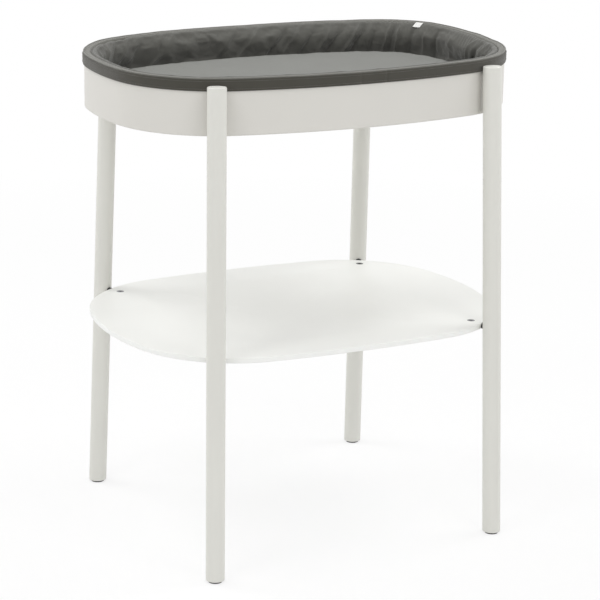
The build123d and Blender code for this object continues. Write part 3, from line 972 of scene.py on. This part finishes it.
band_lacquer = lacquer("band_lacquer", LACQUER_BAND, roughness=0.42, grain_axis=ALONG_X)
leg_lacquer = lacquer("leg_lacquer", LACQUER_LEGS, roughness=0.38, grain_axis=ALONG_Z)
shelf_lacquer = lacquer("shelf_lacquer", LACQUER_SHELF, roughness=0.40, grain_axis=ALONG_X)
dark_plastic = moulded("dark_plastic_stipple", DARK_PLASTIC, roughness=0.55)
grey_plastic = moulded("grey_plastic_stipple", GREY_PLASTIC, roughness=0.5)
zinc = plated("zinc_plate", ZINC)
strip_cloth = fabric("strip_cloth", LINER_GREY, LINER_PITCH, "UV", LINER_SHEEN)
painted_light_on_top = fabric("rim_top_painted_light", RIM_TOP_LIT_GREY, LINER_PITCH, "UV", LINER_SHEEN)
wall_cloth = fabric("wall_cloth", WALL_GREY, LINER_PITCH, "UV", LINER_SHEEN)
base_cloth = fabric("liner_base_cloth", WALL_GREY, LINER_PITCH, "Object", LINER_SHEEN)
rim_edge_painted_highlight = fabric("rim_edge_painted_highlight", EDGE_GREY, pitch=0.0006, source="UV", sheen=0.3)
thread = fabric("stitch_thread", EDGE_GREY, pitch=0.0004, source="Object", sheen=0.2)
mat_cloth = fabric("mat_cloth", MAT_GREY, pitch=0.0009, source="Object", sheen=0.2)
tab_cloth = fabric("tab_cloth", TAB_WHITE, pitch=0.0005, source="Object", sheen=0.1)


def dress(obj, material):
    """Give an object one material."""
    obj.data.materials.clear()
    obj.data.materials.append(material)


def node_material(name):
    """Material of a shown CAD node."""
    if name.startswith("leg_saddle"):
        return grey_plastic
    if name in ("glides", "shelf_spacers"):
        return dark_plastic
    if name.startswith("leg_"):
        return leg_lacquer
    if name == "shelf":
        return shelf_lacquer
    if name in ("hoop_bolts", "cam_nuts", "cam_dowels"):
        return zinc
    return band_lacquer


for name, obj in nodes.items():
    if not obj.hide_render:
        dress(obj, node_material(name))
dress(rim, strip_cloth)
# The rim's top faces take the lighter grey: painted light on the top of the same cloth
rim.data.materials.append(painted_light_on_top)
rim_width = len(rim_section(0.0))
for number, polygon in enumerate(rim.data.polygons):
    if number % rim_width in RIM_TOP_FACES:
        polygon.material_index = 1
# The folded edge's lighter grey paints the highlight along the rim's top edge
dress(edge, rim_edge_painted_highlight)
dress(thread_rows, thread)
dress(wall, wall_cloth)
dress(liner_floor, base_cloth)
dress(mat, mat_cloth)
dress(tab, tab_cloth)

# Floor, seen as white with faint shadows near the object
FLOOR_HALF = 12.0
FLOOR_HEIGHT = -0.0002
WHITE = (1, 1, 1, 1)
MATT_WHITE = (0.95, 0.95, 0.95, 1)
# Share of plain white in what is seen of the floor, near the object and far from it, and those distances
GLOW_NEAR = 0.74
GLOW_FAR = 1.0
GLOW_NEAR_REACH = 1.0
GLOW_FAR_REACH = 3.0


def seen_rays(tree):
    """1 for rays that show the background: from the camera, by reflection or through glass."""
    path = add_node(tree, "ShaderNodeLightPath").outputs
    direct = maths(tree, "MAXIMUM", path["Is Camera Ray"], path["Is Glossy Ray"])
    return maths(tree, "MAXIMUM", direct, path["Is Transmission Ray"])


def studio_floor():
    """White floor that keeps a little of the object's shadow."""
    signs = [(-1, -1), (1, -1), (1, 1), (-1, 1)]
    corners = [(x * FLOOR_HALF, y * FLOOR_HALF, FLOOR_HEIGHT) for x, y in signs]
    floor = make_object("studio_floor", corners, [(0, 1, 2, 3)])
    material = bpy.data.materials.new("floor_white")
    material.use_nodes = True
    tree = material.node_tree
    tree.nodes.clear()
    matt = add_node(tree, "ShaderNodeBsdfDiffuse", {"Color": MATT_WHITE}).outputs["BSDF"]
    glow = add_node(tree, "ShaderNodeEmission", {"Color": WHITE, "Strength": 1.0}).outputs["Emission"]
    place = add_node(tree, "ShaderNodeNewGeometry").outputs["Position"]
    away = add_node(tree, "ShaderNodeVectorMath", {0: place}, operation="LENGTH").outputs["Value"]
    reach = {"Value": away, "From Min": GLOW_NEAR_REACH, "From Max": GLOW_FAR_REACH,
             "To Min": GLOW_NEAR, "To Max": GLOW_FAR}
    level = add_node(tree, "ShaderNodeMapRange", reach).outputs["Result"]
    share = maths(tree, "MULTIPLY", seen_rays(tree), level)
    mix = add_node(tree, "ShaderNodeMixShader", {"Fac": share, 1: matt, 2: glow}).outputs["Shader"]
    add_node(tree, "ShaderNodeOutputMaterial", {"Surface": mix})
    floor.data.materials.append(material)


studio_floor()


# Light
def area_light(name, place, target, size, power):
    """Soft square lamp that looks at a point."""
    lamp = bpy.data.lights.new(name, "AREA")
    lamp.shape = "SQUARE"
    lamp.size = size
    lamp.energy = power
    obj = link(bpy.data.objects.new(name, lamp))
    obj.location = place
    obj.rotation_euler = (Vector(target) - Vector(place)).to_track_quat("-Z", "Y").to_euler()


TRAY_MIDDLE = (0, 0, 0.75)
TABLE_MIDDLE = (0, 0, 0.55)
area_light("lamp_front_left", (-1.80, -0.88, 2.93), TRAY_MIDDLE, size=0.8, power=11)
area_light("lamp_front_right", (0.35, -1.97, 2.93), TRAY_MIDDLE, size=0.8, power=9)
area_light("lamp_left", (-1.28, 1.36, 3.08), TABLE_MIDDLE, size=1.1, power=22)
area_light("lamp_right", (1.86, -0.23, 3.08), TABLE_MIDDLE, size=1.1, power=21)

# Strength of the world's light at the horizon and overhead
HORIZON = 1.03
ZENITH = 0.55


def studio_world():
    """White studio: soft light from all round, brightest near the horizon, and white where it is seen."""
    world = bpy.data.worlds.new("studio")
    bpy.context.scene.world = world
    world.use_nodes = True
    tree = world.node_tree
    tree.nodes.clear()
    direction = add_node(tree, "ShaderNodeTexCoord").outputs["Generated"]
    rise = add_node(tree, "ShaderNodeSeparateXYZ", {"Vector": direction}).outputs["Z"]
    strength = spread(tree, rise, HORIZON, ZENITH)
    ambient = add_node(tree, "ShaderNodeBackground", {"Color": WHITE, "Strength": strength})
    white = add_node(tree, "ShaderNodeBackground", {"Color": WHITE, "Strength": 1.0})
    sides = {"Fac": seen_rays(tree), 1: ambient.outputs["Background"], 2: white.outputs["Background"]}
    mix = add_node(tree, "ShaderNodeMixShader", sides).outputs["Shader"]
    add_node(tree, "ShaderNodeOutputWorld", {"Surface": mix})


studio_world()
bpy.context.scene.view_settings.view_transform = "Standard"

# Camera, as fitted to the photograph
CAMERA_PLACE = (-1.92697, -3.82628, 1.65479)
CAMERA_YAW = math.radians(26.9208)
CAMERA_PITCH = math.radians(-15.9880)
CAMERA_ROLL = math.radians(0.9958)
CAMERA_LENS = 137.227
CAMERA_SENSOR = 36.0
CAMERA_NEAR = 0.05
CAMERA_FAR = 60.0


def photo_camera():
    """Camera at the photograph's place, turn and field of view."""
    look = Vector((
        math.sin(CAMERA_YAW) * math.cos(CAMERA_PITCH),
        math.cos(CAMERA_YAW) * math.cos(CAMERA_PITCH),
        math.sin(CAMERA_PITCH),
    ))
    level = Vector((math.cos(CAMERA_YAW), -math.sin(CAMERA_YAW), 0))
    above = level.cross(look)
    right = level * math.cos(CAMERA_ROLL) + above * math.sin(CAMERA_ROLL)
    up = above * math.cos(CAMERA_ROLL) - level * math.sin(CAMERA_ROLL)
    data = bpy.data.cameras.new("photo_camera")
    data.sensor_width = CAMERA_SENSOR
    data.lens = CAMERA_LENS
    data.clip_start = CAMERA_NEAR
    data.clip_end = CAMERA_FAR
    camera = link(bpy.data.objects.new("photo_camera", data))
    turn = Matrix((right, up, -look)).transposed().to_4x4()
    camera.matrix_world = Matrix.Translation(CAMERA_PLACE) @ turn
    bpy.context.scene.camera = camera


photo_camera()
